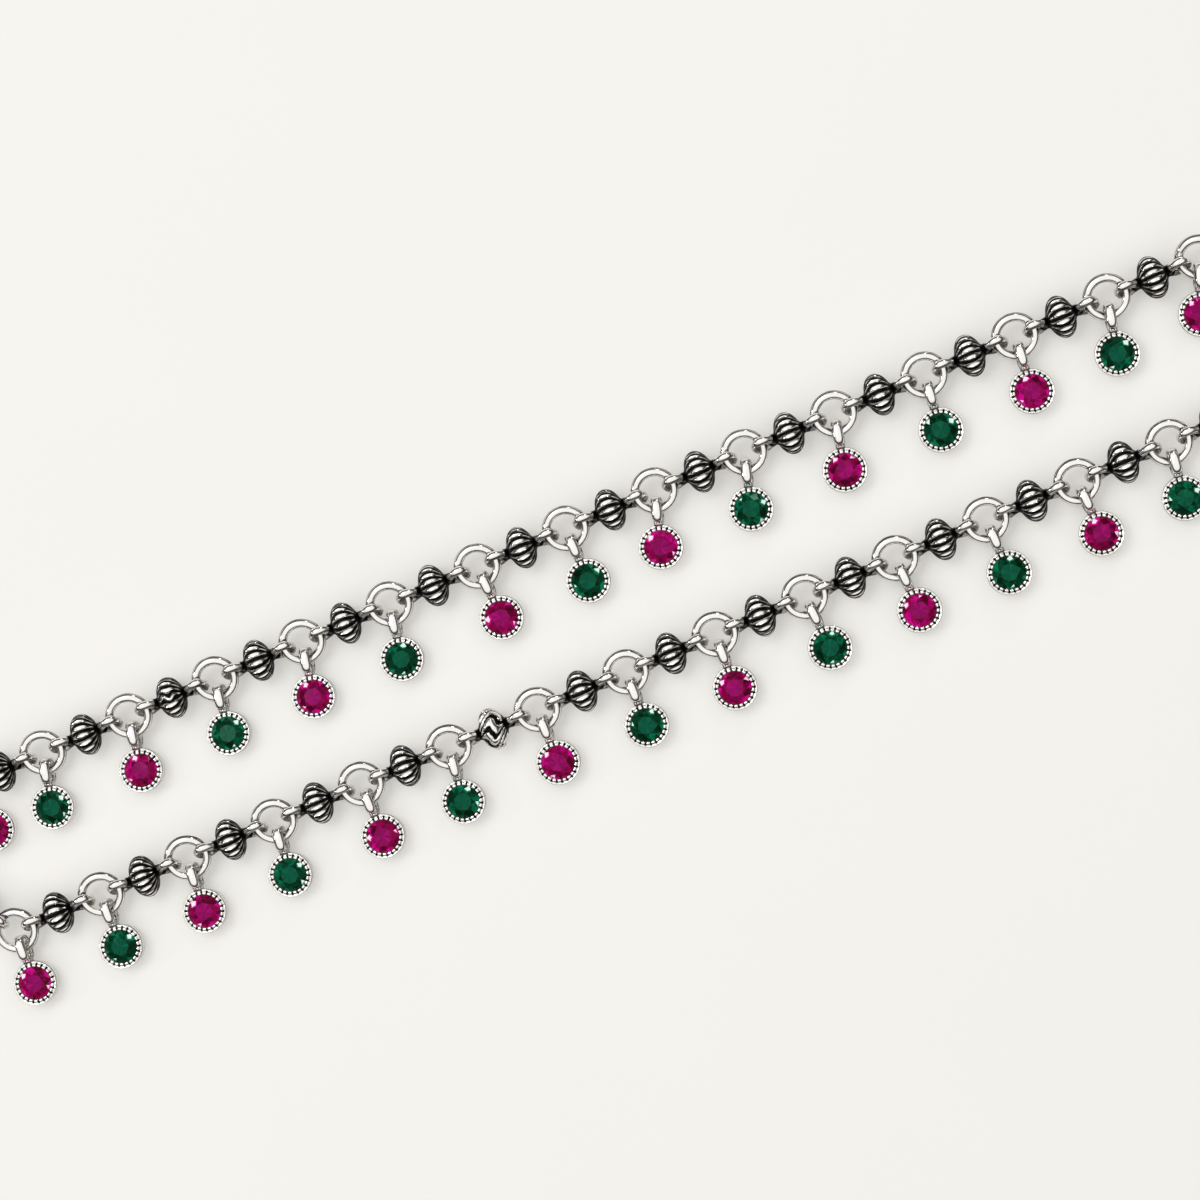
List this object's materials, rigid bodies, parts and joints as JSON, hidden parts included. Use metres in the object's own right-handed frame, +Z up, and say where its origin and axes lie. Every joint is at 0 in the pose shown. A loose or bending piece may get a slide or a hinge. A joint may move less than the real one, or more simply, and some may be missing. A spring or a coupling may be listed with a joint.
{
  "type": "payal anklet",
  "caption": "Silver charm anklet: oxidised melon beads linked by jump rings, with a bezel-set stone drop on every ring, green and magenta in turn.",
  "frame": {"origin": "middle of the base, on the surface that the anklet lies on", "axes": "+X along the long loop, +Y away from the side that the drops are combed to, +Z up"},
  "size_m": [0.139, 0.0224, 0.0038],
  "materials": {
    "polished_silver": "bright polished silver, with the beads' grooves and necks oxidised black",
    "magenta_stone": "faceted magenta stone in a polished silver bezel",
    "green_stone": "faceted dark green stone in a polished silver bezel"
  },
  "bodies": {
    "root": {"chain_upper_run": "polished_silver", "chain_lower_run": "polished_silver", "drop_01": "magenta_stone", "drop_02": "green_stone", "drop_03": "magenta_stone", "drop_04": "green_stone", "drop_05": "magenta_stone", "drop_06": "green_stone", "drop_07": "magenta_stone", "drop_08": "green_stone", "drop_09": "magenta_stone", "drop_10": "green_stone", "drop_11": "magenta_stone", "drop_12": "green_stone", "drop_13": "magenta_stone", "drop_14": "green_stone", "drop_15": "magenta_stone", "drop_16": "green_stone", "drop_17": "magenta_stone", "drop_18": "green_stone", "drop_19": "magenta_stone", "drop_20": "green_stone", "drop_21": "magenta_stone", "drop_22": "green_stone", "drop_23": "magenta_stone", "drop_24": "green_stone", "drop_25": "magenta_stone", "drop_26": "green_stone", "drop_27": "magenta_stone", "drop_28": "green_stone", "drop_29": "magenta_stone", "drop_30": "green_stone", "drop_31": "magenta_stone", "drop_32": "green_stone", "clasp_hook": "polished_silver"}
  },
  "joints": []
}
